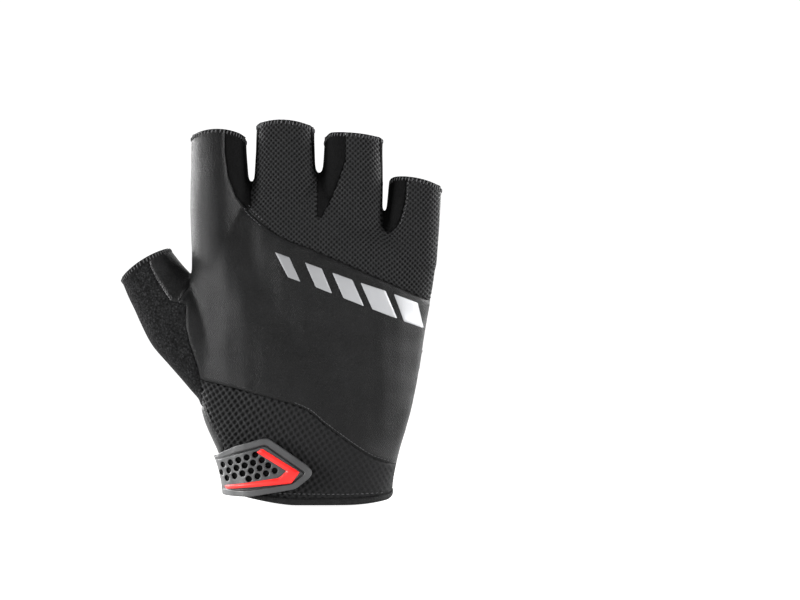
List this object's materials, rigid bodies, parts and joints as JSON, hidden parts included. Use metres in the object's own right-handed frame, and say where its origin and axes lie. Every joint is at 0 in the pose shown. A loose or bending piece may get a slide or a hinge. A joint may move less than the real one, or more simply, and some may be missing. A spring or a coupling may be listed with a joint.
{
  "type": "half-finger cycling glove",
  "caption": "Right-hand half-finger cycling glove with a stretch back, mesh over the knuckles, a padded leather palm and a strap at the wrist.",
  "frame": {"origin": "centre of the wrist opening, at the glove's lower edge", "axes": "+Z along the hand to the finger ends, -Y out of the back of the hand, +Y out of the palm, -X to the thumb"},
  "size_m": [0.1291, 0.0455, 0.1518],
  "materials": {
    "stretch_cloth": "smooth stretch cloth with a soft sheen",
    "coarse_mesh": "coarse knitted mesh",
    "terry_knit": "matt looped knit",
    "leather": "fine grained leather, half matt",
    "gusset_cloth": "matt stretch cloth",
    "binding": "folded tape with stitching",
    "reflective_film": "silver reflective film",
    "tab_rubber": "moulded satin rubber",
    "red_rubber": "satin red rubber",
    "red_gel": "domed gloss gel",
    "black_gel": "domed gloss gel"
  },
  "bodies": {
    "root": {"back_panel": "stretch_cloth", "knuckle_mesh": "coarse_mesh", "cuff_mesh": "coarse_mesh", "thumb_back": "terry_knit", "thumb_leather": "leather", "crotch_gusset": "leather", "upper_palm": "leather", "thenar_panel": "leather", "heel_palm": "leather", "knuckle_pad_index": "leather", "knuckle_pad_middle": "leather", "knuckle_pad_ring": "leather", "knuckle_pad_little": "leather", "grip_band": "leather", "thumb_pad": "leather", "gusset_index_middle": "gusset_cloth", "gusset_middle_ring": "gusset_cloth", "gusset_ring_little": "gusset_cloth", "cuff_hem": "binding", "strap_band": "binding", "reflective_bar_1": "reflective_film", "reflective_bar_2": "reflective_film", "reflective_bar_3": "reflective_film", "reflective_bar_4": "reflective_film", "reflective_bar_5": "reflective_film", "strap_tab": "tab_rubber", "tab_chevron": "red_rubber", "gel_insert_red": "red_gel", "gel_insert_black": "black_gel"}
  },
  "joints": []
}
